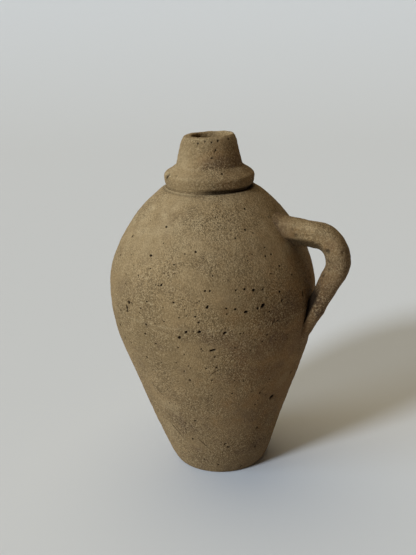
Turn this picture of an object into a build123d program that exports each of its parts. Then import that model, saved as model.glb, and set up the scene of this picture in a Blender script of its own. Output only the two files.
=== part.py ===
from build123d import *
from math import acos, atan2, cos, hypot, radians, sin, sqrt, tan
import os

# A one-handled, narrow-necked clay jug, thrown in parts and luted together while leather-hard.
# Millimetres. The origin is the middle of the foot, +Z is up and the handle stands out along +X.

# Outline of the body's outer face: a leaning line, a swelling arc to the belly, then two shoulder arcs
FOOT_RADIUS = 40.7
BELLY_RADIUS = 84.4
BELLY_HEIGHT = 157.0
SWELL_ARC = 170.0
SHOULDER_ARC = 77.0
DOME_TURN = 24.08
SHOULDER_TOP_RADIUS = 36.2
SHOULDER_TOP_HEIGHT = 240.3

# Thickness of the thrown clay, and the rounded corners of the foot
WALL = 8.0
FLOOR = 10.0
FOOT_ROUND = 4.0
FLOOR_ROUND = 14.0

# Luted joints: the film of clay in them, the keyed rim at the belly and the hole under the collar
LUTE = 1.0
SEAM_HEIGHT = 150.0
KEY_WIDTH = 4.0
KEY_DEPTH = 2.5
NECK_HOLE_RADIUS = 29.0
LUTE_RECESS = 1.4

# Collar, spout and lip
COLLAR_RADIUS = 35.3
COLLAR_HEIGHT = 9.2
COLLAR_LOWER_ROUND = 1.2
COLLAR_UPPER_ROUND = 2.0
COLLAR_SLOPE_HEIGHT = 6.6
SPOUT_BASE_RADIUS = 26.2
SPOUT_BASE_ROUND = 6.0
SPOUT_HEIGHT = 22.9
LIP_RADIUS = 20.9
LIP_ROUND = 3.4
MOUTH_RADIUS = 14.5
MOUTH_FLARE = 1.6
MOUTH_ROUND = 1.2
THROAT_LENGTH = 20.0
NECK_WALL = 8.0

# Axis of the pulled handle, in the plane of the loop
HANDLE_DROP = 29.1
HANDLE_STANDOFF = 22.1
ARM_FALL = 4.0
BEND_RADIUS = 19.5
TAIL_HEIGHT = 113.0
TAIL_SINK = 5.5

# Sections of the handle from root to tail: thickness in the plane of the loop, width across it
ROOT_THICKNESS = 20.5
ROOT_WIDTH = 23.5
BEND_THICKNESS = 18.5
BEND_WIDTH = 20.0
ARM_THICKNESS = 17.0
ARM_WIDTH = 19.0
TAIL_THICKNESS = 10.0
TAIL_WIDTH = 17.0

# Clay pressed round the handle's two roots
PAD_MARGIN = 5.0
PAD_THICKNESS = 4.0
WAD_MARGIN = 2.5
WAD_THICKNESS = 2.6
WAD_LENGTH = 30.0

# Circles of the outline, as centre radius and centre height
SWELL_CENTRE = (BELLY_RADIUS - SWELL_ARC, BELLY_HEIGHT)
SHOULDER_CENTRE = (BELLY_RADIUS - SHOULDER_ARC, BELLY_HEIGHT)


def wall_lean():
    """Lean of the lower wall: the line from the foot that touches the swelling arc."""
    across, down = FOOT_RADIUS - SWELL_CENTRE[0], SWELL_CENTRE[1]
    return atan2(down, across) - acos(SWELL_ARC / hypot(across, down))


def dome_arc():
    """Radius of the arc that runs on smoothly from the shoulder arc to the shoulder's top."""
    out, up = cos(DOME_ANGLE), sin(DOME_ANGLE)
    across = SHOULDER_TOP_RADIUS - SHOULDER_CENTRE[0] - SHOULDER_ARC * out
    rise = SHOULDER_TOP_HEIGHT - SHOULDER_CENTRE[1] - SHOULDER_ARC * up
    return -(across**2 + rise**2) / (2 * (across * out + rise * up))


LEAN = wall_lean()
DOME_ANGLE = radians(DOME_TURN)
DOME_ARC = dome_arc()
DOME_CENTRE = (
    SHOULDER_CENTRE[0] - (DOME_ARC - SHOULDER_ARC) * cos(DOME_ANGLE),
    SHOULDER_CENTRE[1] - (DOME_ARC - SHOULDER_ARC) * sin(DOME_ANGLE),
)


def outline_breaks(inset=0.0):
    """Heights where the line and the arcs of the outline join, on the curve moved inwards by inset."""
    return [
        SWELL_CENTRE[1] - (SWELL_ARC - inset) * sin(LEAN),
        BELLY_HEIGHT,
        SHOULDER_CENTRE[1] + (SHOULDER_ARC - inset) * sin(DOME_ANGLE),
    ]


def on_arc(centre, arc, height):
    return centre[0] + sqrt(max(arc**2 - (height - centre[1]) ** 2, 0))


def wall_radius(height, inset=0.0):
    """Radius of the wall's outline at a height, moved inwards by inset."""
    line_top, belly, dome = outline_breaks(inset)
    if height <= line_top:
        return on_arc(SWELL_CENTRE, SWELL_ARC - inset, line_top) - (line_top - height) * tan(LEAN)
    if height <= belly:
        return on_arc(SWELL_CENTRE, SWELL_ARC - inset, height)
    if height <= dome:
        return on_arc(SHOULDER_CENTRE, SHOULDER_ARC - inset, height)
    return on_arc(DOME_CENTRE, DOME_ARC - inset, height)


def dome_height(radius, inset=0.0):
    """Height of the dome arc at a radius, moved inwards by inset."""
    return DOME_CENTRE[1] + sqrt((DOME_ARC - inset) ** 2 - (radius - DOME_CENTRE[0]) ** 2)


def wall_curve(low, high, inset=0.0):
    """The wall's outline between two heights, moved inwards by inset."""
    breaks = outline_breaks(inset)
    heights = [low] + [height for height in breaks if low < height < high] + [high]
    curve = Curve()
    for start, end in zip(heights, heights[1:]):
        ends = [(wall_radius(height, inset), height) for height in (start, end)]
        if end <= breaks[0]:
            curve += Line(*ends)
        else:
            middle = (start + end) / 2
            curve += ThreePointArc(ends[0], (wall_radius(middle, inset), middle), ends[1])
    return curve


def corner(sketch, radius, height):
    return sketch.vertices().sort_by_distance((radius, height, 0))[0]


def turned(profile):
    """A profile of radius and height, turned once round the jug's axis."""
    return revolve(Plane.XZ * profile, Axis.Z)


def rim(height):
    """Keyed rim of the belly joint: level lands with a V between them, from the outside inwards."""
    outside, inside = wall_radius(height), wall_radius(height, WALL)
    middle = (outside + inside) / 2
    return [
        (outside, height),
        (middle + KEY_WIDTH / 2, height),
        (middle, height - KEY_DEPTH),
        (middle - KEY_WIDTH / 2, height),
        (inside, height),
    ]


RIM_LOW = SEAM_HEIGHT - LUTE / 2
RIM_HIGH = SEAM_HEIGHT + LUTE / 2


def lower_body():
    """Cone from the foot to the belly, with the floor in one piece and a grooved rim."""
    floor_radius = wall_radius(FLOOR, WALL)
    outside = wall_curve(0, RIM_LOW)
    inside = wall_curve(FLOOR, RIM_LOW, WALL)
    base = Polyline((floor_radius, FLOOR), (0, FLOOR), (0, 0), (FOOT_RADIUS, 0))
    profile = make_face(outside + Polyline(*rim(RIM_LOW)) + inside + base)
    profile = fillet(corner(profile, FOOT_RADIUS, 0), FOOT_ROUND)
    profile = fillet(corner(profile, floor_radius, FLOOR), FLOOR_ROUND)
    return turned(profile)


def belly_lute():
    """Ring of luting clay that fills the keyed joint at the belly."""
    return turned(make_face(Polyline(*rim(RIM_LOW), *reversed(rim(RIM_HIGH)), close=True)))


# A low shoulder is level inside before it reaches the hole, so the hole starts at the arc's crown there
HOLE_FOOT = dome_height(max(NECK_HOLE_RADIUS, DOME_CENTRE[0]), WALL)
CEILING_RADIUS = wall_radius(HOLE_FOOT, WALL)


def upper_body():
    """Shoulder dome from the belly to the level land under the collar, with the hole for the neck."""
    outside = wall_curve(RIM_HIGH, SHOULDER_TOP_HEIGHT)
    inside = wall_curve(RIM_HIGH, HOLE_FOOT, WALL)
    land = [
        (SHOULDER_TOP_RADIUS, SHOULDER_TOP_HEIGHT),
        (NECK_HOLE_RADIUS, SHOULDER_TOP_HEIGHT),
        (NECK_HOLE_RADIUS, HOLE_FOOT),
    ]
    if CEILING_RADIUS > NECK_HOLE_RADIUS + 0.001:
        land.append((CEILING_RADIUS, HOLE_FOOT))
    return turned(make_face(outside + Polyline(*land) + inside + Polyline(*rim(RIM_HIGH))))


SPIGOT_RADIUS = NECK_HOLE_RADIUS - LUTE
COLLAR_FOOT = SHOULDER_TOP_HEIGHT + LUTE
COLLAR_TOP = COLLAR_FOOT + COLLAR_HEIGHT
SPOUT_FOOT = COLLAR_TOP + COLLAR_SLOPE_HEIGHT
RIM_TOP = SPOUT_FOOT + SPOUT_HEIGHT


def neck_lute():
    """Luting clay under the collar and round the spigot, set back so that a groove shows."""
    edge = COLLAR_RADIUS - LUTE_RECESS
    return turned(
        make_face(
            Polyline(
                (edge, SHOULDER_TOP_HEIGHT),
                (edge, COLLAR_FOOT),
                (SPIGOT_RADIUS, COLLAR_FOOT),
                (SPIGOT_RADIUS, HOLE_FOOT),
                (NECK_HOLE_RADIUS, HOLE_FOOT),
                (NECK_HOLE_RADIUS, SHOULDER_TOP_HEIGHT),
                close=True,
            )
        )
    )


def neck():
    """Collar, tapering spout and lip, thrown in one piece round a straight throat."""
    flare_foot = RIM_TOP - LIP_ROUND
    throat_foot = flare_foot - THROAT_LENGTH
    lip_round = min(LIP_ROUND, 0.72 * (LIP_RADIUS - MOUTH_RADIUS - MOUTH_FLARE))
    corners = [
        (SPIGOT_RADIUS, HOLE_FOOT, 0),
        (SPIGOT_RADIUS, COLLAR_FOOT, 0),
        (COLLAR_RADIUS, COLLAR_FOOT, COLLAR_LOWER_ROUND),
        (COLLAR_RADIUS, COLLAR_TOP, COLLAR_UPPER_ROUND),
        (SPOUT_BASE_RADIUS, SPOUT_FOOT, SPOUT_BASE_ROUND),
        (LIP_RADIUS, RIM_TOP, lip_round),
        (MOUTH_RADIUS + MOUTH_FLARE, RIM_TOP, MOUTH_ROUND),
        (MOUTH_RADIUS, flare_foot, 0),
        (MOUTH_RADIUS, throat_foot, 0),
        (SPIGOT_RADIUS - NECK_WALL, HOLE_FOOT, 0),
    ]
    points = [(radius, height) for radius, height, _ in corners]
    rounds = [rounding for _, _, rounding in corners]
    return turned(make_face(FilletPolyline(*points, radius=rounds, close=True)))


def handle_axis():
    """Axis of the handle: a stretch sunk in the wall, a falling arm, a bend and a tail touching the bend."""
    fall = radians(ARM_FALL)
    root_height = SHOULDER_TOP_HEIGHT - HANDLE_DROP
    root = (wall_radius(root_height), root_height)
    start = (root[0] - ROOT_THICKNESS, root[1] + ROOT_THICKNESS * tan(fall))
    bend_x = BELLY_RADIUS + HANDLE_STANDOFF - BEND_RADIUS
    arm_end_x = bend_x + BEND_RADIUS * sin(fall)
    arm_end = (arm_end_x, root[1] - (arm_end_x - root[0]) * tan(fall))
    bend_z = arm_end[1] - BEND_RADIUS * cos(fall)
    end = (wall_radius(TAIL_HEIGHT) - TAIL_SINK, TAIL_HEIGHT)
    across, down = end[0] - bend_x, end[1] - bend_z
    turn = atan2(down, across) + acos(BEND_RADIUS / hypot(across, down))
    half = (radians(90) - fall + turn) / 2
    crest = (bend_x + BEND_RADIUS * cos(half), bend_z + BEND_RADIUS * sin(half))
    tail_start = (bend_x + BEND_RADIUS * cos(turn), bend_z + BEND_RADIUS * sin(turn))
    sunk = Line(start, root)
    arm = Line(root, arm_end)
    bend = ThreePointArc(arm_end, crest, tail_start)
    tail = Line(tail_start, end)
    return [(Plane.XZ * stretch).edge() for stretch in (sunk, arm, bend, tail)]


def section(stretch, place, thickness, width):
    """Oval section of the handle, square to a stretch of its axis."""
    plane = Plane(origin=stretch @ place, x_dir=(0, 1, 0), z_dir=stretch % place)
    return plane * Ellipse(width / 2, thickness / 2)


def handle_blank():
    """The pulled rod before its roots are cut to the wall: ovals swept along its axis."""
    sunk, arm, bend, tail = handle_axis()
    ovals = [
        section(sunk, 0, ROOT_THICKNESS, ROOT_WIDTH),
        section(arm, 0, ROOT_THICKNESS, ROOT_WIDTH),
        section(bend, 0, BEND_THICKNESS, BEND_WIDTH),
        section(bend, 1, BEND_THICKNESS, BEND_WIDTH),
        section(tail, 0.5, ARM_THICKNESS, ARM_WIDTH),
        section(tail, 1, TAIL_THICKNESS, TAIL_WIDTH),
    ]
    return sweep(ovals, path=Wire([sunk, arm, bend, tail]), multisection=True)


def wall_blank():
    """The whole body as one filled turning, which the handle and its clay are cut against."""
    top = Line((SHOULDER_TOP_RADIUS, SHOULDER_TOP_HEIGHT), (0, SHOULDER_TOP_HEIGHT))
    axis_and_base = Polyline((0, SHOULDER_TOP_HEIGHT), (0, 0), (FOOT_RADIUS, 0))
    return turned(make_face(wall_curve(0, SHOULDER_TOP_HEIGHT) + top + axis_and_base))


def pressed_clay(height, half_length, half_width, thickness):
    """Oval lump of clay centred on the wall's face at a height, lying along the wall."""
    slope = wall_radius(height + 0.5) - wall_radius(height - 0.5)
    plane = Plane(origin=(wall_radius(height), 0, height), x_dir=(0, 1, 0), z_dir=(1, 0, -slope))
    return plane * scale(Sphere(1), by=(half_width, half_length, thickness))


def handle_upper_lute():
    """Pad of clay pressed round the handle's root on the shoulder."""
    height = SHOULDER_TOP_HEIGHT - HANDLE_DROP
    slope = wall_radius(height + 0.5) - wall_radius(height - 0.5)
    root_half = ROOT_THICKNESS / 2 * hypot(1, slope)
    return pressed_clay(height, root_half + PAD_MARGIN, ROOT_WIDTH / 2 + PAD_MARGIN, PAD_THICKNESS)


def handle_lower_lute():
    """Wad of clay pressed round the tail of the handle on the belly."""
    height = TAIL_HEIGHT + WAD_LENGTH / 4
    return pressed_clay(height, WAD_LENGTH / 2, TAIL_WIDTH / 2 + WAD_MARGIN, WAD_THICKNESS)


body = wall_blank()
rod = handle_blank()
pieces = {
    "lower_body": lower_body(),
    "belly_lute": belly_lute(),
    "upper_body": upper_body(),
    "neck_lute": neck_lute(),
    "neck": neck(),
    "handle": rod - body,
    "handle_upper_lute": handle_upper_lute() - body - rod,
    "handle_lower_lute": handle_lower_lute() - body - rod,
}

os.makedirs("parts", exist_ok=True)
for name, piece in pieces.items():
    export_step(piece, f"parts/{name}.step")
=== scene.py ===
from collections import namedtuple
from math import acos, atan2, cos, hypot, pi, radians, sin, sqrt, tan
from random import Random

import bmesh
import bpy
from mathutils import Matrix, Vector, kdtree, noise


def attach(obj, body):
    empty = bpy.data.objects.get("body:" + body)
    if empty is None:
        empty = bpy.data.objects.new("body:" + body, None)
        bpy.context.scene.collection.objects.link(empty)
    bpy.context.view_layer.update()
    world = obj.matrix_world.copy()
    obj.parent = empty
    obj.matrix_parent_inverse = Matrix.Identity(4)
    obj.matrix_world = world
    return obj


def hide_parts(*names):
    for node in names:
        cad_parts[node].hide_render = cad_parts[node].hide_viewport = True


# The dressed jug: an old unglazed clay jug, thrown, luted, fired and worn. It is modelled in millimetres
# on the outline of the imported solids, and each piece is handed over in metres.

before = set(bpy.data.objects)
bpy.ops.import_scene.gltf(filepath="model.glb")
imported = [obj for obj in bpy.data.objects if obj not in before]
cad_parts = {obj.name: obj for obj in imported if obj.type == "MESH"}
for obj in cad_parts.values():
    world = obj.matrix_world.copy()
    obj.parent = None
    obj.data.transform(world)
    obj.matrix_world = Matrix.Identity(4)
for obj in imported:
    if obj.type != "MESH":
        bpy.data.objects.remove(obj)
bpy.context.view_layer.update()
MM = 0.001

# Side of the jug that the photograph looks at, as a turn of the camera about the axis
VIEW_TURN = radians(27)
VIEW_RIGHT = Vector((cos(VIEW_TURN), sin(VIEW_TURN), 0))
VIEW_AHEAD = Vector((-sin(VIEW_TURN), cos(VIEW_TURN), 0))

# Outline of the thrown body
FOOT_RADIUS = 40.7
BELLY_RADIUS = 84.4
BELLY_HEIGHT = 157.0
SWELL_ARC = 170.0
SHOULDER_ARC = 77.0
DOME_TURN = radians(24.08)
SHOULDER_TOP_RADIUS = 36.2
SHOULDER_TOP_HEIGHT = 240.3
WALL = 8.0
FLOOR = 10.0

# Worn edge of the foot: a long soft draw-in, a small round at the floor, and how high up it stays truer
FOOT_DRAW = 2.5
FOOT_DRAW_HEIGHT = 15.0
FOOT_ROUND = 1.3
TRUER_FOOT = 9

# Joints, collar, spout and lip
RIM_LOW = 149.5
RIM_HIGH = 150.5
KEY_WIDTH = 4.0
KEY_DEPTH = 2.5
NECK_HOLE_RADIUS = 29.0
SPIGOT_RADIUS = 28.0
COLLAR_FOOT = 241.3
COLLAR_TOP = 250.5
COLLAR_RADIUS = 35.3
SPOUT_FOOT = 257.1
SPOUT_BASE_RADIUS = 26.2
LIP_RADIUS = 20.9
RIM_TOP = 280.0
MOUTH_RADIUS = 14.5
THROAT_LENGTH = 20.0

# Axis of the pulled handle
ROOT_HEIGHT = 211.2
ARM_FALL = radians(4)
BEND_RADIUS = 19.5
BEND_REACH = 106.8
TAIL_HEIGHT = 113.0
ROOT_SINK = 5.0
TAIL_SINK = 5.5

# How finely the pieces are turned: steps round the axis, heights of rows, and rings of floor and land
STEPS = 360
NECK_STEPS = 320
ROW = 1.3
SHOULDER_ROW = 1.05
COLLAR_ROW = 0.55
COLLAR_ROWS_FOOT = 228
NECK_ROW = 0.7
FOOT_ROW = 0.3
FOOT_ROWS_TOP = 6
INSIDE_ROW = 6
FLOOR_RINGS = (24, 8, 0)
LAND_RING = COLLAR_RADIUS - 3

# Distances at which corners are one and copies are welded, and the least angle of a crisp edge
SAME_PLACE = 0.01
WELD = 0.002
CRISP_ANGLE = radians(35)

# Lean of the thrown walls to the left of the view, and how far the neck was luted off the middle
FOOT_SLIP = 1.6
LEAN = 5.1
LEAN_TOP = 178.0
LEAN_EASING = 0.25
NECK_SLIP = 0.9
NECK_SLIP_HEIGHTS = (238, 246)

# Groove under the collar: cosines between which it opens towards the handle, its depth, its soil and
# painted shade, and the heights over which the shoulder falls to it
GROOVE_OPENS = (0.05, 0.6)
GROOVE_DEPTH = 0.7
GROOVE_SOIL_AND_SHADE = 0.8
GROOVE_SHOULDER = (234, 240)

# Line that the thrower's tool left on the shoulder
TOOL_LINE_HEIGHT = 239.2
TOOL_LINE_EDGE = (0.15, 0.8)
TOOL_LINE_DEPTH = 0.5
TOOL_LINE_SOIL = 0.3

# How far up and down from a place its slope is taken
SLOPE_REACH = 0.4

SWELL_CENTRE = (BELLY_RADIUS - SWELL_ARC, BELLY_HEIGHT)
SHOULDER_CENTRE = (BELLY_RADIUS - SHOULDER_ARC, BELLY_HEIGHT)


def lower_lean():
    """Lean of the straight lower wall, which touches the swelling arc."""
    across, down = FOOT_RADIUS - SWELL_CENTRE[0], SWELL_CENTRE[1]
    return atan2(down, across) - acos(SWELL_ARC / hypot(across, down))


def dome_arc():
    """Radius of the arc that runs on from the shoulder arc to the shoulder's top."""
    across = SHOULDER_TOP_RADIUS - SHOULDER_CENTRE[0] - SHOULDER_ARC * cos(DOME_TURN)
    rise = SHOULDER_TOP_HEIGHT - SHOULDER_CENTRE[1] - SHOULDER_ARC * sin(DOME_TURN)
    return -(across**2 + rise**2) / (2 * (across * cos(DOME_TURN) + rise * sin(DOME_TURN)))


WALL_LEAN = lower_lean()
DOME_ARC = dome_arc()
DOME_CENTRE = (
    SHOULDER_CENTRE[0] - (DOME_ARC - SHOULDER_ARC) * cos(DOME_TURN),
    SHOULDER_CENTRE[1] - (DOME_ARC - SHOULDER_ARC) * sin(DOME_TURN),
)
HOLE_FOOT = DOME_CENTRE[1] + sqrt((DOME_ARC - WALL) ** 2 - (NECK_HOLE_RADIUS - DOME_CENTRE[0]) ** 2)


def ease(low, high, value):
    """Smooth step from 0 at low to 1 at high."""
    share = min(max((value - low) / (high - low), 0), 1)
    return share * share * (3 - 2 * share)


def ripple(point, amount, size, shift=(0, 0, 0)):
    """Smooth chance unevenness at a point, of an amount and with waves of a size."""
    return amount * noise.noise(point / size + Vector(shift))


def throwing_rings(point, amount, long, tall):
    """Rings of an amount that the thrower's fingers left, each of a length and a height."""
    return amount * noise.noise(Vector((point.x / long, point.y / long, point.z / tall)))


def on_arc(centre, arc, height):
    """Radius of an arc's outer side at a height."""
    return centre[0] + sqrt(max(arc**2 - (height - centre[1]) ** 2, 0))


def rounding(depth, tall, height):
    """How far a rounded edge of a depth draws in at a height above its foot."""
    return depth * (1 - sqrt(1 - max(1 - height / tall, 0) ** 2))


def wall_radius(height, inset=0.0):
    """Radius of the wall's outline at a height, moved inwards by inset."""
    line_top = SWELL_CENTRE[1] - (SWELL_ARC - inset) * sin(WALL_LEAN)
    dome_foot = SHOULDER_CENTRE[1] + (SHOULDER_ARC - inset) * sin(DOME_TURN)
    if height <= line_top:
        radius = on_arc(SWELL_CENTRE, SWELL_ARC - inset, line_top) - (line_top - height) * tan(WALL_LEAN)
    elif height <= BELLY_HEIGHT:
        radius = on_arc(SWELL_CENTRE, SWELL_ARC - inset, height)
    elif height <= dome_foot:
        radius = on_arc(SHOULDER_CENTRE, SHOULDER_ARC - inset, height)
    else:
        radius = on_arc(DOME_CENTRE, DOME_ARC - inset, height)
    if inset == 0:
        radius -= rounding(FOOT_DRAW, FOOT_DRAW_HEIGHT, height) + rounding(FOOT_ROUND, FOOT_ROUND, height)
    return radius


def neck_radius(height):
    """Radius of the neck's outside at a height."""
    if height < COLLAR_TOP:
        return COLLAR_RADIUS
    if height < SPOUT_FOOT:
        share = (height - COLLAR_TOP) / (SPOUT_FOOT - COLLAR_TOP)
        return COLLAR_RADIUS + (SPOUT_BASE_RADIUS - COLLAR_RADIUS) * share
    share = (height - SPOUT_FOOT) / (RIM_TOP - SPOUT_FOOT)
    return SPOUT_BASE_RADIUS + (LIP_RADIUS - SPOUT_BASE_RADIUS) * share


def turned_place(radius_at, angle, height):
    """Point of a turned face at an angle about the axis and a height, and the direction out of it."""
    radius = radius_at(height)
    below = radius_at(max(height - SLOPE_REACH, 0))
    slope = (radius_at(height + SLOPE_REACH) - below) / (2 * SLOPE_REACH)
    point = Vector((radius * cos(angle), radius * sin(angle), height))
    return point, Vector((cos(angle), sin(angle), -slope)).normalized()


def on_wall(angle, height):
    """Point of the wall's outside, and the direction out of it."""
    return turned_place(wall_radius, angle, height)


def on_neck(angle, height):
    """Point of the neck's outside, and the direction out of it."""
    return turned_place(neck_radius, angle, height)


def slip(height):
    """Sideways lean of the jug at a height."""
    rise = min(height / LEAN_TOP, 1)
    return (FOOT_SLIP - LEAN * rise * (1 + LEAN_EASING - LEAN_EASING * rise)) * VIEW_RIGHT


def groove(point):
    """How open the groove under the collar is: deep towards the handle, filled with clay away from it."""
    return ease(*GROOVE_OPENS, point.x / max(hypot(point.x, point.y), 1))


def placed(*patches):
    """Patches with the point of the face that their middle lies on."""
    centred = []
    for angle, height, *size in patches:
        face = on_neck if height > COLLAR_FOOT else on_wall
        centred.append((face(radians(angle), height)[0], *size))
    return centred


# Patches of the fired face: angle and height of the middle, width, height and strength
ROUGH_PATCHES = placed(
    (-60, 223, 34, 15, 1.0), (-100, 176, 20, 26, 0.9), (-30, 158, 30, 20, 1.0),
    (-66, 147, 30, 9, 0.9), (-58, 116, 18, 13, 0.9), (-43, 34, 24, 18, 0.8),
    (-103, 90, 13, 15, 0.8), (-52, 258, 20, 5, 1.0), (70, 190, 30, 22, 0.9),
    (130, 120, 26, 24, 0.9), (-160, 150, 22, 24, 0.8),
)
SMOOTH_PATCHES = placed(
    (-104, 214, 24, 17, 0.9), (-76, 184, 24, 11, 0.8), (-20, 210, 22, 18, 0.7),
    (-82, 118, 18, 16, 0.7), (100, 205, 26, 18, 0.8), (-170, 100, 24, 20, 0.8),
)
BROWN_STAINS = placed(
    (-60, 142, 24, 9, 0.9), (-36, 131, 36, 14, 1.0), (-24, 156, 24, 16, 1.0),
    (-31, 148, 14, 20, 0.8), (-4, 126, 34, 18, 1.0), (-50, 110, 22, 12, 0.8),
    (-30, 105, 26, 14, 0.8), (-18, 78, 18, 10, 0.6), (-94, 222, 20, 12, 0.4),
    (-118, 172, 16, 10, 0.35), (-106, 88, 11, 12, 0.55), (-98, 42, 10, 8, 0.7),
    (-55, 33, 18, 8, 0.7), (-25, 24, 26, 12, 0.7), (-36, 261, 20, 7, 1.0), (-8, 258, 16, 10, 1.0),
    (-52, 245, 9, 5, 0.4), (-60, 239, 24, 3, 0.6), (60, 140, 40, 14, 0.7), (150, 90, 30, 16, 0.6),
)
# Browner clay, most of it on the side away from the light: part firing flash, part painted shade
FIRED_BROWN_AND_SHADE = placed(
    (-4, 118, 74, 105, 1.0), (-8, 258, 34, 20, 1.0), (172, 70, 50, 60, 0.5),
)
PALE_PATCHES = placed(
    (-140, 262, 22, 16, 0.7), (-102, 70, 14, 10, 0.6), (-112, 40, 16, 16, 0.5),
    (-15, 92, 12, 9, 0.5), (165, 190, 26, 18, 0.5),
)

# Shares of its size between which a patch fades, and past which it isn't looked for
PATCH_EDGE = (0.4, 1.15)
PATCH_REACH = 1.6

# Grime and painted shade of the lower wall, darker towards the bottom: how strong it is, and the heights
# between which it fades
GRIME_AND_SHADE = 0.45
GRIME_AND_SHADE_HEIGHTS = (70, 152)


def in_patches(point, places, ragged):
    """Strength of the strongest patch that a point lies in."""
    strongest = 0
    for centre, wide, tall, strength in places:
        offset = point - centre
        if abs(offset.z) < PATCH_REACH * tall:
            reach = hypot(hypot(offset.x, offset.y) / wide, offset.z / tall)
            strongest = max(strongest, strength * (1 - ease(*PATCH_EDGE, reach + ragged)))
    return strongest


def patch_tones(point):
    """How rough the clay is at a point, how stained and darkened with painted shade, how browned by fire
    and painted shade, and how pale.
    """
    ragged = ripple(point, 0.4, 11) + ripple(point, 0.22, 4.5)
    drift = 0.42 + ripple(point, 0.75, 27, (2.9, 8.2, 4.4)) + ragged * 0.5
    smooth = in_patches(point, SMOOTH_PATCHES, ragged)
    rough = max(min(max(drift, 0), 1) * (1 - smooth), in_patches(point, ROUGH_PATCHES, ragged))
    # Painted shade with the grime: below the belly the clay is darkened towards the foot
    grime_and_shade = GRIME_AND_SHADE * (1 - ease(*GRIME_AND_SHADE_HEIGHTS, point.z)) * (1 - 0.6 * smooth) * (1 + ragged)
    stain_and_shade = max(grime_and_shade, in_patches(point, BROWN_STAINS, ragged))
    return rough, stain_and_shade, in_patches(point, FIRED_BROWN_AND_SHADE, ragged), in_patches(point, PALE_PATCHES, ragged)


def turned_line(point):
    """Line that the thrower's tool left on the shoulder, where the collar's groove is filled."""
    off_line = abs(point.z - TOOL_LINE_HEIGHT + ripple(point, 0.35, 14))
    return (1 - ease(*TOOL_LINE_EDGE, off_line)) * (1 - groove(point))


def unevenness(point, rough):
    """How far the wall stands off its true outline at a point, from throwing, drying and wear."""
    broad = ripple(point, 0.7, 58) + ripple(point, 0.34, 23, (7.1, 3.3, 1.7))
    rings = throwing_rings(point, 0.17, 75, 4.6)
    grit = ripple(point, 0.22, 6.3) + ripple(point, 0.2, 3.1) + ripple(point, 0.14, 2.1)
    under_collar = GROOVE_DEPTH * groove(point) * ease(*GROOVE_SHOULDER, point.z)
    under_collar += TOOL_LINE_DEPTH * turned_line(point)
    return ease(0, TRUER_FOOT, point.z) * (broad + rings + (0.25 + 0.75 * rough) * grit) - under_collar


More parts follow.
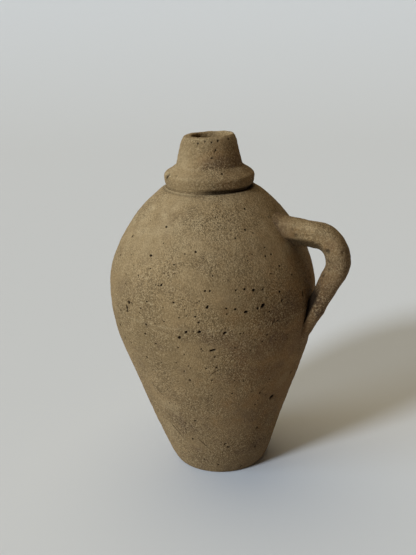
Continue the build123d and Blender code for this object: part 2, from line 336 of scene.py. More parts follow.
# Pits in view, where grit has burnt or fallen out: angle, height, radius, and any stretch and tilt
PLACED_PITS = [
    (-64.4, 133, 0.95, 3.0, 14), (-66, 168, 1.0, 1.4, 60), (-41.5, 177.7, 1.15, 1.1, 0),
    (-37.2, 165.3, 1.35, 1.6, 25), (-40.2, 163.9, 0.8, 1.5, 50), (-22.6, 77.7, 1.75, 1.4, 20),
    (-77.4, 147.8, 1.05, 1.3, 75), (-70.5, 148.5, 1.1, 1.4, 50), (-57.8, 147.6, 1.0, 1.4, 30),
    (-81.1, 142.8, 1.0, 1.4, 55), (-112.6, 162, 1.35, 1.2, 30), (-114.5, 157, 1.15, 2.1, 88),
    (-114.6, 154, 0.95, 1.2, 0), (-7.7, 164.3, 1.2, 2.1, 85), (-31.2, 230.3, 0.95),
    (-102.4, 199.4, 0.95, 1.2, 0), (-98.4, 219.2, 0.9, 1.1, 0), (-73.1, 205.2, 0.85),
    (-79.7, 203.5, 0.55), (-91, 181.2, 0.8, 1.3, 50), (-90.5, 189.6, 0.55),
    (-67, 179.5, 0.75, 1.2, 0), (-64.5, 179.5, 0.65, 1.4, 75), (-83.4, 170, 0.7, 1.3, 0),
    (-99.3, 167.1, 0.65, 1.2, 0), (-46.4, 179.2, 0.85, 1.2, 0), (-51.1, 179.2, 0.65, 1.3, 0),
    (-36.4, 177, 0.65), (-52.1, 165.6, 0.9, 1.1, 0), (-46.7, 162.6, 0.95, 1.7, 10),
    (-56.5, 162.5, 0.6), (-38.3, 217.7, 0.8), (-47.1, 213.1, 0.65), (-25.4, 199.1, 0.75, 1.1, 0),
    (-29.9, 198.9, 0.7, 1.1, 0), (-22.1, 190.2, 0.8, 1.1, 0), (-14.6, 181.5, 0.8, 1.2, 0),
    (-26, 172.7, 0.85, 1.2, 20), (-25.1, 165.7, 0.85, 1.3, 70), (-22.3, 167.3, 0.65),
    (-28.6, 150.4, 0.65, 1.3, 0), (-33.5, 159.5, 0.6, 1.2, 0), (-37.5, 136.5, 0.7, 1.2, 0),
    (-72.3, 160.6, 0.7, 1.2, 0), (-70.6, 156.3, 0.75, 1.2, 40), (-80.6, 158.9, 0.6),
    (-103.4, 160.6, 0.65, 1.2, 0), (-127, 136.4, 1.05, 1.3, 60), (-123.3, 126.7, 0.75, 1.2, 0),
    (-100.5, 148.4, 0.85, 1.3, 70), (-102.2, 139.9, 0.85, 1.2, 0), (-119.8, 112.7, 0.85, 1.5, 130),
    (-104.5, 118.3, 0.85, 1.1, 0), (-70.1, 134.2, 0.65, 1.1, 0), (-78.6, 104.1, 0.85, 1.1, 0),
    (-97.7, 96.4, 0.6), (-98.7, 74.9, 0.65), (-80.7, 60.9, 0.75, 1.5, 10),
    (-68.3, 116.9, 0.6, 1.3, 80), (-62.6, 117.7, 0.7, 1.1, 0), (-34.5, 86.5, 0.8, 1.1, 0),
    (-36.5, 75.3, 0.8, 1.2, 0), (-29.3, 47.1, 0.9, 1.3, 30), (-26, 24.7, 0.95, 1.3, 40),
    (-57.9, 35.2, 0.8, 1.8, 30), (-55.1, 31.4, 0.8, 2.0, 160), (-80.6, 16.2, 0.65, 1.2, 0),
    (-65.8, 10.7, 0.8, 1.3, 45), (-39, 5.5, 0.8, 1.3, 20), (-125, 153.2, 0.85, 1.3, 40),
    (-111.6, 136, 0.6), (-116.7, 126, 0.7, 1.2, 0), (-95.7, 133.6, 0.65, 1.2, 0), (-89, 154.4, 0.6),
    (-76.7, 160.7, 0.55), (-107.6, 184, 0.6, 1.2, 0), (-94.4, 180.6, 0.5), (-92.9, 180.6, 0.55),
    (-70, 172.3, 0.5), (-56.6, 166.7, 0.6, 1.2, 0), (-42, 198, 0.5), (-38.4, 201.6, 0.55),
    (-50, 146, 0.6, 1.2, 0), (-73.5, 148.7, 0.5), (-82.5, 133.9, 0.6), (-79.6, 128.3, 0.55),
    (-81, 112.6, 0.55), (-86.5, 100.8, 0.5), (-104.4, 47, 0.8, 2.0, 120),
    (-87.3, 38.4, 0.7, 1.8, 80), (-6.7, 93.7, 0.9, 1.8, 30),
]

# Scratches are pits drawn out long and shallow, listed the same way
SCRATCHES = [
    (-106, 86.8, 0.56, 13, 130), (-103.5, 86.5, 0.5, 9, 130), (-101.5, 43, 0.5, 18, 124),
    (-100, 47.5, 0.52, 7, 128), (-77.2, 34.5, 0.48, 17, 124), (-32.8, 89.8, 0.4, 9, 45),
    (-64, 113, 0.4, 10, 40), (-31, 151, 0.6, 6, 55), (42, 92, 0.4, 18, 40), (154, 55, 0.4, 16, 130),
    (110, 200, 0.35, 14, 20),
]

# Pits on the collar, spout and lip, listed the same way
NECK_PITS = [
    (-43.5, 277.8, 0.8, 1.1, 0), (-86, 276.4, 0.7, 1.1, 0), (-95.5, 276.4, 0.5),
    (-71, 277.6, 0.55, 1.1, 0), (-57.5, 276.8, 0.45, 1.9, 0), (-17, 278, 0.75, 1.1, 0),
    (-50, 271.4, 0.65, 1.1, 0), (-52.5, 270.2, 0.5), (-58, 265.8, 0.7, 1.3, 0),
    (-44.5, 254.4, 0.75, 1.8, 85), (-112, 252, 0.5), (-131, 250, 1.5, 1.9, 48),
    (60, 270, 0.9, 1.3, 20), (140, 262, 0.8, 1.1, 0), (95, 248, 1.0, 1.4, 60),
]

# Depth of a pit for its radius, how much weather has widened it, and the stretch that makes it a scratch
PIT_DEPTH = 1.7
PIT_GROWTH = 1.1
SCRATCH_STRETCH = 5
SCRATCH_DEPTH = 0.4
ROUND = (1.0, 0)

# Shares of its radius between which a pit's side rises and its soil and painted shade end, and the depth
# that is fully dark
PIT_SIDE = (0.35, 1.0)
PIT_SOIL_EDGE = (0.6, 1.1)
DARK_DEPTH = 0.7

# How far past the longest mark the marks near a point are looked for
SEARCH_MARGIN = 2.5

# Chance pits: seed, number, lowest, highest and commonest height, and the angles of the wall in view
PIT_SEED = 41
PIT_COUNT = 330
PIT_HEIGHTS = (10, 236, 165)
ANGLES_IN_VIEW = (-128, 5)


def scattered_pits():
    """Small pits all over the wall, with larger ones on the sides that aren't in view."""
    chance = Random(PIT_SEED)
    pits = []
    while len(pits) < PIT_COUNT:
        angle = chance.uniform(-180, 180)
        height = chance.triangular(*PIT_HEIGHTS)
        in_view = ANGLES_IN_VIEW[0] < angle < ANGLES_IN_VIEW[1]
        radius = 0.4 + (0.2 if in_view else 0.75) * chance.random() ** 3
        crowding = ripple(on_wall(radians(angle), height)[0], 1, 34, (5.5, 1.2, 9.3))
        if crowding > chance.uniform(-0.8, 0.45):
            stretch = chance.choice((1.0, 1.2, 1.2, 1.5, 1.9))
            pits.append((angle, height, radius, stretch, chance.uniform(-90, 90)))
    return pits


Mark = namedtuple("Mark", "point along across radius depth stretch")


class Pits:
    """Pits and scratches of a turned face, found by place."""

    def __init__(self, place, pits):
        self.marks = []
        for angle, height, radius, *drawn in pits:
            stretch, tilt = drawn or ROUND
            point, out = place(radians(angle), height)
            round_axis = Vector((-sin(radians(angle)), cos(radians(angle)), 0))
            along = Matrix.Rotation(radians(tilt), 3, out) @ round_axis
            depth = SCRATCH_DEPTH if stretch > SCRATCH_STRETCH else PIT_DEPTH * radius
            self.marks.append(Mark(point, along, out.cross(along), PIT_GROWTH * radius, depth, stretch))
        self.search = max(mark.radius * mark.stretch for mark in self.marks) + SEARCH_MARGIN
        self.tree = kdtree.KDTree(len(self.marks))
        for i, mark in enumerate(self.marks):
            self.tree.insert(mark.point, i)
        self.tree.balance()

    def reaches(self, point):
        """Each mark near a point, and how many of its radii away the point is."""
        for _, i, _ in self.tree.find_range(point, self.search):
            mark = self.marks[i]
            offset = point - mark.point
            yield mark, hypot(offset.dot(mark.along) / mark.stretch, offset.dot(mark.across)) / mark.radius

    def near(self, point, margin):
        """Whether a point lies within a margin of a mark."""
        return any(reach < 1 + margin / mark.radius for mark, reach in self.reaches(point))

    def depth(self, point):
        """Depth of the face at a point, and how dark the soil and painted shade in the pit are."""
        deepest, soil_and_shade = 0.0, 0.0
        ragged = 1 + 0.3 * noise.noise(point * 0.9)
        for mark, reach in self.reaches(point):
            deepest = max(deepest, mark.depth * (1 - ease(*PIT_SIDE, reach * ragged)))
            dark = min(mark.depth / DARK_DEPTH, 1)
            soil_and_shade = max(soil_and_shade, (1 - ease(*PIT_SOIL_EDGE, reach * ragged)) * dark)
        return deepest, soil_and_shade


wall_pits = Pits(on_wall, scattered_pits() + PLACED_PITS + SCRATCHES)
neck_pits = Pits(on_neck, NECK_PITS)

TONES = ("soil_and_shade", "rough", "stain_and_shade", "flash_and_shade", "pale")

# The most dust and painted light on what faces up, and how far up a face has to look to hold them
MOST_DUST_AND_TOP_LIGHT = 0.9
DUST_AND_TOP_LIGHT_SLOPE = 0.75


def tone_layers(bm):
    """Vertex layers that the finish reads: soil and painted shade in hollows, rough clay, stains with
    painted shade, browning by fire and painted shade, and pale clay with painted light where it faces up.
    """
    return [bm.verts.layers.float.new(name) for name in TONES]


def tint(vert, layers, point, soil_and_shade=0.0):
    """Writes the tones of a point to a vertex, with dust and painted light on what faces up, and gives its
    roughness.
    """
    rough, stain_and_shade, flash_and_shade, pale = patch_tones(point)
    # Painted light with the dust: faces that look up are made paler, standing in for light from above
    dust_and_top_light = MOST_DUST_AND_TOP_LIGHT * ease(0, DUST_AND_TOP_LIGHT_SLOPE, vert.normal.z) * (1 - ripple(point, 0.5, 9))
    for layer, tone in zip(layers, (soil_and_shade, rough, stain_and_shade, flash_and_shade, max(pale, dust_and_top_light))):
        vert[layer] = tone
    return rough


# Turned pieces


def corner(bm, radius, height):
    """The profile's vertex at a radius and height, made where there is none yet."""
    place = Vector((radius, 0, height))
    for vert in bm.verts:
        if (vert.co - place).length < SAME_PLACE:
            return vert
    return bm.verts.new(place)


def chain(bm, *corners):
    """Edges through corners of radius and height."""
    verts = [corner(bm, *place) for place in corners]
    for pair in zip(verts, verts[1:]):
        bm.edges.new(pair)


def wall_line(bm, low, high, inset, row):
    """Edges up the wall's outline, from one edge divided into rows."""
    chain(bm, (wall_radius(low, inset), low), (wall_radius(high, inset), high))
    known = len(bm.verts)
    bm.edges.ensure_lookup_table()
    bmesh.ops.subdivide_edges(bm, edges=[bm.edges[-1]], cuts=round((high - low) / row))
    bm.verts.ensure_lookup_table()
    for vert in bm.verts[known:]:
        vert.co.x = wall_radius(vert.co.z, inset)


def rim(height):
    """Keyed rim of the belly joint, from the outside inwards."""
    outside, inside = wall_radius(height), wall_radius(height, WALL)
    middle = (outside + inside) / 2
    return [
        (outside, height),
        (middle + KEY_WIDTH / 2, height),
        (middle, height - KEY_DEPTH),
        (middle - KEY_WIDTH / 2, height),
        (inside, height),
    ]


def only(items, kind):
    """Those of an operator's results that are of one kind."""
    return [item for item in items if isinstance(item, kind)]


def turn(bm, steps=STEPS):
    """Turns a profile through an eighth, repeats that round the axis, and keeps the corners crisp."""
    profile = bm.verts[:] + bm.edges[:]
    bmesh.ops.spin(bm, geom=profile, cent=(0, 0, 0), axis=(0, 0, 1), angle=pi / 4, steps=steps // 8)
    for share in (pi / 4, pi / 2, pi):
        copy = bmesh.ops.duplicate(bm, geom=bm.verts[:] + bm.edges[:] + bm.faces[:])["geom"]
        verts = only(copy, bmesh.types.BMVert)
        bmesh.ops.rotate(bm, verts=verts, cent=(0, 0, 0), matrix=Matrix.Rotation(share, 3, "Z"))
    bmesh.ops.remove_doubles(bm, verts=bm.verts[:], dist=WELD)
    bmesh.ops.recalc_face_normals(bm, faces=bm.faces[:])
    for edge in bm.edges:
        edge.smooth = edge.calc_face_angle(0) < CRISP_ANGLE


# How near a point lies to the outline, the underside or the land under the collar to be on it
OUTER_REACH = 0.3
UNDERSIDE_REACH = 0.001
LAND_REACH = 0.1

# How far round the pits the wall is divided once, and then once more
PIT_MARGINS = (1.2, 0.5)


def is_outer(point):
    """Whether a point of a turned wall lies on its outer face, above the foot's underside."""
    off_axis = hypot(point.x, point.y)
    return point.z > UNDERSIDE_REACH and abs(off_axis - wall_radius(point.z)) < OUTER_REACH


def weathered_wall(bm):
    """Turns a wall's profile, gives its outer face pits, wear and tones, and leans the whole piece."""
    turn(bm)
    for margin in PIT_MARGINS:
        edges = set()
        for face in bm.faces:
            centre = face.calc_center_median()
            if is_outer(centre) and wall_pits.near(centre, margin):
                edges.update(face.edges)
        bmesh.ops.subdivide_edges(bm, edges=list(edges), cuts=1, use_grid_fill=True)
    layers = tone_layers(bm)
    bm.normal_update()
    for vert in bm.verts:
        point = vert.co.copy()
        if is_outer(point):
            depth, soil_and_shade = wall_pits.depth(point)
            rough = tint(vert, layers, point, max(soil_and_shade, TOOL_LINE_SOIL * turned_line(point)))
            _, out = on_wall(atan2(point.y, point.x), point.z)
            vert.co += out * (unevenness(point, rough) - depth)
        elif point.z > SHOULDER_TOP_HEIGHT - LAND_REACH:
            vert.co.z -= GROOVE_DEPTH * groove(point)
            # Soil and painted shade on the land, only where the groove opens towards the handle
            vert[layers[TONES.index("soil_and_shade")]] = GROOVE_SOIL_AND_SHADE * groove(point)
        vert.co += slip(point.z)
    return bm


def thrown_cone():
    """Lower body: foot, floor and wall up to the belly."""
    bm = bmesh.new()
    wall_line(bm, FLOOR, RIM_LOW, WALL, INSIDE_ROW)
    wall_line(bm, FOOT_ROWS_TOP, RIM_LOW, 0, ROW)
    wall_line(bm, FOOT_ROUND, FOOT_ROWS_TOP, 0, ROW)
    wall_line(bm, 0, FOOT_ROUND, 0, FOOT_ROW)
    chain(bm, *rim(RIM_LOW))
    for height, inset in ((FLOOR, WALL), (0, 0)):
        chain(bm, (wall_radius(height, inset), height), *[(ring, height) for ring in FLOOR_RINGS])
    return weathered_wall(bm)


def belly_joint():
    """Ring of luting clay in the belly joint, flush with the walls."""
    bm = bmesh.new()
    chain(bm, *rim(RIM_LOW), *reversed(rim(RIM_HIGH)), rim(RIM_LOW)[0])
    return weathered_wall(bm)


def shoulder_dome():
    """Upper body: the wall from the belly to the land under the collar."""
    bm = bmesh.new()
    wall_line(bm, RIM_HIGH, HOLE_FOOT, WALL, INSIDE_ROW)
    wall_line(bm, RIM_HIGH, COLLAR_ROWS_FOOT, 0, SHOULDER_ROW)
    wall_line(bm, COLLAR_ROWS_FOOT, SHOULDER_TOP_HEIGHT, 0, COLLAR_ROW)
    chain(bm, *rim(RIM_HIGH))
    chain(
        bm,
        (SHOULDER_TOP_RADIUS, SHOULDER_TOP_HEIGHT),
        (LAND_RING, SHOULDER_TOP_HEIGHT),
        (NECK_HOLE_RADIUS, SHOULDER_TOP_HEIGHT),
        (NECK_HOLE_RADIUS, HOLE_FOOT),
    )
    return weathered_wall(bm)


# Neck: collar, spout and lip

# Worn lip: how much lower it is all round and on its low side, where that is, its chips, and how far down
# the wear goes
LIP_DROP = -0.2
LIP_TILT = 0.8
LIP_LOW_SIDE = VIEW_TURN + radians(158)
LIP_CHIPS = 0.5
CHIP_RING = 3.4
CHIP_SHIFT = 1.9
LIP_WEAR_REACH = 10

# Mouth: height of its flare, and shift of its edge, which fades over these radii and heights
LIP_FLARE = 3.4
MOUTH_SHIFT = 2.2
SHIFT_RADII = (MOUTH_RADIUS + 2.5, MOUTH_RADIUS + 5.5)
SHIFT_HEIGHTS = (RIM_TOP - 5, RIM_TOP - 1)

# Collar: where its weathering begins, how far in and up its foot is cut under at the groove, the slant of
# its face there, and the soil along its foot where the groove is filled
WEATHERED_FOOT = COLLAR_FOOT - 1
UNDERCUT = 2.2
UNDERCUT_REACH = 2.6
COLLAR_SLANT = 0.6
FILLED_SOIL = 0.55
FILLED_EDGE = (COLLAR_FOOT - 0.3, COLLAR_FOOT + 0.5)

# Luting clay under the collar: how far it stands out, and how much is gone and its soil and painted shade
# in the groove
LUTE_PROUD = 0.7
LUTE_GONE = 2.9
LUTE_SOIL_AND_SHADE = 0.7


def neck_wear(point, rough):
    """How far the neck's face stands off its true turning."""
    broad = ripple(point, 0.4, 24, (3.1, 0.4, 6.6)) + ripple(point, 0.3, 11)
    rings = throwing_rings(point, 0.16, 40, 1.3)
    grit = ripple(point, 0.2, 4.2) + ripple(point, 0.18, 2.2)
    return broad + rings + (0.3 + 0.7 * rough) * grit


def lip_drop(point):
    """How far the worn lip has come down at a point."""
    angle = atan2(point.y, point.x)
    chips = LIP_CHIPS * noise.noise(Vector((CHIP_RING * cos(angle), CHIP_RING * sin(angle), CHIP_SHIFT)))
    tilt = LIP_TILT * cos(angle - LIP_LOW_SIDE)
    return ease(RIM_TOP - LIP_WEAR_REACH, RIM_TOP, point.z) * (LIP_DROP + tilt + chips)


def collar_and_mouth():
    """Collar, tapering spout and worn lip, round a straight throat."""
    bm = bmesh.new()
    flare_foot = RIM_TOP - LIP_FLARE
    collar_under = COLLAR_FOOT - 0.4
    corners = [
        (SPIGOT_RADIUS, HOLE_FOOT),
        (SPIGOT_RADIUS, collar_under),
        (COLLAR_RADIUS + 0.1, collar_under),
        (COLLAR_RADIUS + 0.7, COLLAR_TOP - 2.0),
        (COLLAR_RADIUS + 0.1, COLLAR_TOP),
        (COLLAR_RADIUS - 1.4, COLLAR_TOP + 1.4),
        (SPOUT_BASE_RADIUS, SPOUT_FOOT),
        (LIP_RADIUS + 0.9, RIM_TOP - 4.2),
        (LIP_RADIUS - 0.4, RIM_TOP - 1.1),
        (LIP_RADIUS - 2.4, RIM_TOP + 0.2),
        (MOUTH_RADIUS + 1.4, RIM_TOP + 0.2),
        (MOUTH_RADIUS, flare_foot),
        (MOUTH_RADIUS, flare_foot - THROAT_LENGTH),
        (SPIGOT_RADIUS - WALL, HOLE_FOOT),
    ]
    chain(bm, *corners, corners[0])
    for edge in bm.edges[:]:
        bmesh.ops.subdivide_edges(bm, edges=[edge], cuts=int(edge.calc_length() / NECK_ROW))
    for foot in (WEATHERED_FOOT, COLLAR_TOP):
        worn = [vert for vert in bm.verts if vert.co.x > MOUTH_RADIUS + 0.2 and vert.co.z > foot]
        bmesh.ops.smooth_vert(bm, verts=worn, factor=0.5, use_axis_x=True, use_axis_z=True)
    turn(bm, NECK_STEPS)
    layers = tone_layers(bm)
    bm.normal_update()
    for vert in bm.verts:
        point = vert.co.copy()
        away = Vector((point.x, point.y, 0)).normalized()
        if point.z > WEATHERED_FOOT:
            low = 1 - ease(COLLAR_FOOT, COLLAR_FOOT + UNDERCUT_REACH, point.z)
            slant = max(COLLAR_TOP - point.z, 0) / (COLLAR_TOP - COLLAR_FOOT)
            filled = FILLED_SOIL * (1 - ease(*FILLED_EDGE, point.z))
            depth, soil_and_shade = neck_pits.depth(point)
            # Soil and painted shade at the collar's foot where the groove opens towards the handle
            rough = tint(vert, layers, point, max(soil_and_shade, GROOVE_SOIL_AND_SHADE * low * groove(point), filled))
            undercut = (UNDERCUT * low + COLLAR_SLANT * slant) * groove(point)
            vert.co += vert.normal * (neck_wear(point, rough) - depth) - away * undercut
            inner = 1 - ease(*SHIFT_RADII, hypot(point.x, point.y))
            vert.co += VIEW_RIGHT * MOUTH_SHIFT * inner * ease(*SHIFT_HEIGHTS, point.z)
            vert.co.z -= lip_drop(point)
        vert.co += slip(point.z) - NECK_SLIP * VIEW_RIGHT * ease(*NECK_SLIP_HEIGHTS, point.z)
    return bm


def collar_joint():
    """Luting clay in the groove under the collar and round the spigot."""
    bm = bmesh.new()
    corners = [
        (COLLAR_RADIUS - 1.2, SHOULDER_TOP_HEIGHT - 0.5),
        (COLLAR_RADIUS - 0.9, SHOULDER_TOP_HEIGHT + 0.5),
        (COLLAR_RADIUS - 1.2, COLLAR_FOOT + 0.5),
        (SPIGOT_RADIUS, COLLAR_FOOT + 0.2),
        (SPIGOT_RADIUS, HOLE_FOOT),
        (NECK_HOLE_RADIUS, HOLE_FOOT),
        (NECK_HOLE_RADIUS, SHOULDER_TOP_HEIGHT - 0.5),
    ]
    chain(bm, *corners, corners[0])
    turn(bm, NECK_STEPS)
    layers = tone_layers(bm)
    bm.normal_update()
    for vert in bm.verts:
        point = vert.co.copy()
        if hypot(point.x, point.y) > LAND_RING:
            away = Vector((point.x, point.y, 0)).normalized()
            smear = ripple(point, 0.5, 9) + ripple(point, 0.25, 4)
            vert.co += away * (smear + LUTE_PROUD - LUTE_GONE * groove(point))
            # Soil and painted shade on the luting clay where the groove opens
            tint(vert, layers, point, LUTE_SOIL_AND_SHADE * groove(point))
        vert.co += slip(point.z)
    return bm


# Handle

# Sections of the pulled rod: share of its length, half thickness outwards and inwards, half width, and the
# cut of its inner edges
ROD_SECTIONS = [
    (0.0, 9.4, 12.0, 11.0, 8.0),
    (0.2, 9.0, 10.8, 10.4, 8.0),
    (0.34, 9.2, 8.4, 10.0, 5.5),
    (0.48, 9.6, 8.0, 10.0, 5.0),
    (0.6, 8.1, 7.6, 9.8, 6.5),
    (0.7, 7.2, 7.4, 9.6, 7.5),
    (0.84, 5.4, 6.8, 9.3, 5.5),
    (1.0, 3.2, 5.0, 8.6, 2.5),
]
ROD_SQUARENESS = 2.8

# Dents in the rod: share of its length, turn round it, radius and depth
ROD_DENTS = [
    (0.22, -112, 1.3, 1.8), (0.265, -108, 1.1, 1.5), (0.33, -105, 3.6, 1.5), (0.4, -122, 2.6, 1.3),
    (0.45, -112, 2.2, 1.0), (0.505, -135, 2.6, 1.3), (0.53, -120, 1.8, 1.0), (0.1, -70, 1.0, 1.0),
    (0.12, -95, 2.6, 0.9), (0.36, -40, 1.4, 0.8), (0.6, 60, 2.8, 0.9), (0.3, 100, 3.5, 1.2),
]

# Shares of its radius between which a dent's side rises, and the rod's mean radius for distances round it
DENT_SIDE = (0.2, 1)
ROD_RADIUS = 9.5

# How finely the rod and the clay pressed round its roots are made
ROD_STEPS = 96
ROD_ROW = 0.8
SMEAR_STEPS = 120
SMEAR_LOOPS = 12
HALVINGS = 24

# Pressed clay: how deep its edges lie in the rod and the wall, its thickness, lumps, and soil and painted
# shade in its crease
EDGE_IN_ROD = 0.3
EDGE_IN_WALL = 0.25
SMEAR_THICKNESS = 1.6
SMEAR_LUMPS = 0.25
CREASE_SOIL_AND_SHADE = 0.75

# Lengths of the rod from its two ends within which it comes out of the wall
ROOT_LENGTH = 34
TAIL_LENGTH = 70


def towards(turn, angle):
    """1 on the side of the rod at an angle round it, and 0 on the other side."""
    return (1 + cos(turn - radians(angle))) / 2


class Rod:
    """The pulled handle: its axis in the plane of the loop, and its squarish oval sections."""

    def __init__(self):
        root_x = wall_radius(ROOT_HEIGHT)
        self.bend = Vector((BEND_REACH - BEND_RADIUS, 0, 0))
        arm_x = self.bend.x + BEND_RADIUS * sin(ARM_FALL)
        arm_z = ROOT_HEIGHT - (arm_x - root_x) * tan(ARM_FALL)
        self.bend.z = arm_z - BEND_RADIUS * cos(ARM_FALL)
        self.start = Vector((root_x - ROOT_SINK, 0, ROOT_HEIGHT + ROOT_SINK * tan(ARM_FALL)))
        self.arm_end = Vector((arm_x, 0, arm_z))
        self.end = Vector((wall_radius(TAIL_HEIGHT) - TAIL_SINK, 0, TAIL_HEIGHT))
        across, down = self.end.x - self.bend.x, self.end.z - self.bend.z
        self.tail_turn = atan2(down, across) + acos(BEND_RADIUS / hypot(across, down))
        self.tail_start = self.on_bend(self.tail_turn)
        self.arm_length = (self.arm_end - self.start).length
        self.bend_length = BEND_RADIUS * (pi / 2 - ARM_FALL - self.tail_turn)
        self.tail_length = (self.end - self.tail_start).length
        self.length = self.arm_length + self.bend_length + self.tail_length

    def on_bend(self, turn):
        """Point of the axis at a turn of the bend."""
        return self.bend + BEND_RADIUS * Vector((cos(turn), 0, sin(turn)))

    def axis(self, along):
        """Point of the axis and its direction, at a length along it."""
        if along < self.arm_length:
            ahead = (self.arm_end - self.start).normalized()
            return self.start + ahead * along, ahead
        along -= self.arm_length
        if along < self.bend_length:
            turn = pi / 2 - ARM_FALL - along / BEND_RADIUS
            return self.on_bend(turn), Vector((sin(turn), 0, -cos(turn)))
        ahead = (self.end - self.tail_start).normalized()
        return self.tail_start + ahead * (along - self.bend_length), ahead

    def half_sizes(self, along):
        """Half the thickness outwards and inwards, half the width, and the cut of the inner edges."""
        share = min(max(along / self.length, 0), 1)
        for low, high in zip(ROD_SECTIONS, ROD_SECTIONS[1:]):
            if share <= high[0]:
                part = ease(low[0], high[0], share)
                return [a + (b - a) * part for a, b in zip(low[1:], high[1:])]

    def dent(self, along, turn):
        """Depth of the dents at a place on the rod."""
        deepest = 0.0
        for share, angle, radius, depth in ROD_DENTS:
            swing = (turn - radians(angle) + pi) % (2 * pi) - pi
            reach = hypot(along - share * self.length, ROD_RADIUS * swing) / radius
            deepest = max(deepest, depth * (1 - ease(*DENT_SIDE, reach)))
        return deepest

    def soil_and_shade(self, along, turn):
        """How dark the soil and painted shade are: in dents, and painted shade under the arm and on the
        tail's side close to the wall.
        """
        share = along / self.length
        # Painted shade where the tail faces the wall, and under the arm near the root
        close = ease(0.54, 0.64, share) * ease(0.45, 0.7, towards(turn, 180))
        under = 0.6 * (1 - ease(0.25, 0.36, share)) * ease(0.55, 0.8, towards(turn, 180))
        return max(0.45 * self.dent(along, turn), 0.95 * close, under)

    def stain_and_shade(self, along):
        """How brown the rod is: painted shadow of the body near the root, and browner from the bend down.
        """
        share = along / self.length
        return max(0.7 * (1 - ease(0.04, 0.16, share)), 0.9 * ease(0.2, 0.45, share))

    def face(self, along, turn, sunk=0.0):
        """Point of the worn surface at a length along the axis and a turn round it, sunk by a depth."""
        centre, ahead = self.axis(along)
        outwards = Vector((-ahead.z, 0, ahead.x))
        outer, inner, wide, cut = self.half_sizes(along)
        thick = outer if cos(turn) > 0 else inner
        square = abs(cos(turn)) ** ROD_SQUARENESS + abs(sin(turn)) ** ROD_SQUARENESS
        square = square ** (-1 / ROD_SQUARENESS)
        out, across = thick * cos(turn) * square, wide * sin(turn) * square
        trim = min((inner + wide - cut) / max(abs(across) - out, 1), 1)
        offset = outwards * out * trim + Vector((0, across * trim, 0))
        point = centre + offset
        lumps = ripple(point, 0.5, 17, (4.2, 0.3, 0.8)) + ripple(point, 0.35, 8)
        rough = ripple(point, 0.17, 4.1) + ripple(point, 0.12, 2.4)
        worn = lumps + rough - sunk - self.dent(along, turn)
        return point + offset.normalized() * worn + slip(point.z)


rod = Rod()


def place_ring(ring, turn_layer, place):
    """Puts each vertex of a ring where its turn round the ring belongs."""
    for vert in ring:
        vert.co = place(vert[turn_layer])


def first_ring(bm, segments):
    """A round ring of vertices that know their turn, which later rings are extruded from."""
    turn_layer = bm.verts.layers.float.new("turn")
    ring = bmesh.ops.create_circle(bm, cap_ends=False, radius=1, segments=segments)["verts"]
    for vert in ring:
        vert[turn_layer] = atan2(vert.co.y, vert.co.x)
    return turn_layer, ring, bm.edges[:]


def next_ring(bm, edges):
    """Extrudes a ring of edges, and gives the new vertices and edges."""
    made = bmesh.ops.extrude_edge_only(bm, edges=edges)["geom"]
    return only(made, bmesh.types.BMVert), only(made, bmesh.types.BMEdge)


def tint_all(bm, soil_and_shade_at, stain_and_shade_at):
    """Gives a hand-shaped piece its tones, with soil, stains and painted shade of its own, and less dust
    and painted light where it is browned.
    """
    layers = tone_layers(bm)
    bm.normal_update()
    stain_and_shade, pale = layers[TONES.index("stain_and_shade")], layers[TONES.index("pale")]
    for vert in bm.verts:
        tint(vert, layers, vert.co - slip(vert.co.z), soil_and_shade_at(vert))
        vert[stain_and_shade] = max(vert[stain_and_shade], stain_and_shade_at(vert))
        vert[pale] *= 1 - 0.7 * stain_and_shade_at(vert)


def loop_handle():
    """The pulled rod, with its two roots sunk in the wall."""
    bm = bmesh.new()
    along_layer = bm.verts.layers.float.new("along")
    turn_layer, ring, edges = first_ring(bm, ROD_STEPS)
    rings = round(rod.length / ROD_ROW)
    place_ring(ring, turn_layer, lambda turn: rod.face(0, turn))
    bmesh.ops.contextual_create(bm, geom=edges)
    for i in range(1, rings + 1):
        along = rod.length * i / rings
        ring, edges = next_ring(bm, edges)
        place_ring(ring, turn_layer, lambda turn: rod.face(along, turn))
        for vert in ring:
            vert[along_layer] = along
    bmesh.ops.contextual_create(bm, geom=edges)
    bmesh.ops.recalc_face_normals(bm, faces=bm.faces[:])
    tint_all(
        bm,
        lambda vert: rod.soil_and_shade(vert[along_layer], vert[turn_layer]),
        lambda vert: rod.stain_and_shade(vert[along_layer]),
    )
    return bm


def wall_gap(point):
    """How far a leaned point stands off the leaned wall, along the radius."""
    true = point - slip(point.z)
    return hypot(true.x, true.y) - wall_radius(min(max(true.z, 0), SHOULDER_TOP_HEIGHT))


def crossing(turn, inside, outside):
    """Length along the rod at which its surface comes out of the wall."""
    for _ in range(HALVINGS):
        middle = (inside + outside) / 2
        if wall_gap(rod.face(middle, turn)) < 0:
            inside = middle
        else:
            outside = middle
    return outside


def worn_wall(point, sunk):
    """The worn wall nearest a leaned point, sunk by a depth."""
    true = point - slip(point.z)
    true, out = on_wall(atan2(true.y, true.x), true.z)
    rough = patch_tones(true)[0]
    return true + out * (unevenness(true, rough) - sunk) + slip(true.z)


